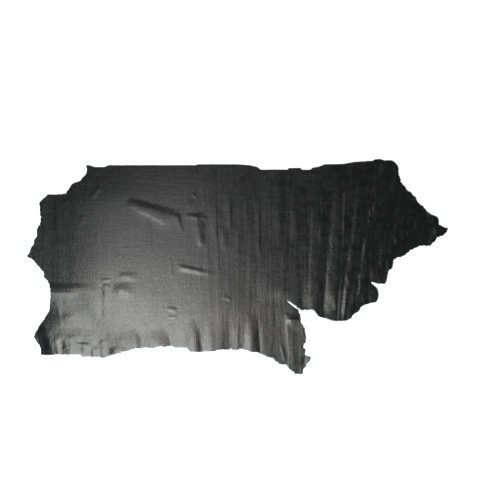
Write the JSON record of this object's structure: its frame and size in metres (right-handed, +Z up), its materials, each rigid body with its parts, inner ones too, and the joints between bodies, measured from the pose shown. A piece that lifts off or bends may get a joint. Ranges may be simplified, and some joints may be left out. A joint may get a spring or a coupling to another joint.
{
  "type": "leather hide",
  "caption": "Side of black cattle leather, cut straight along the backbone and laid flat, with shanks, neck and soft folds.",
  "frame": {"origin": "on the surface that the hide lies on, below the middle of its length and width", "axes": "+X along the backbone cut from butt to neck, +Y from belly to backbone, +Z up out of the grain side"},
  "size_m": [2.358, 1.2046, 0.0146],
  "materials": {
    "black_leather": "black finished grain with a satin sheen"
  },
  "bodies": {
    "root": {"hide": "black_leather"}
  },
  "joints": []
}
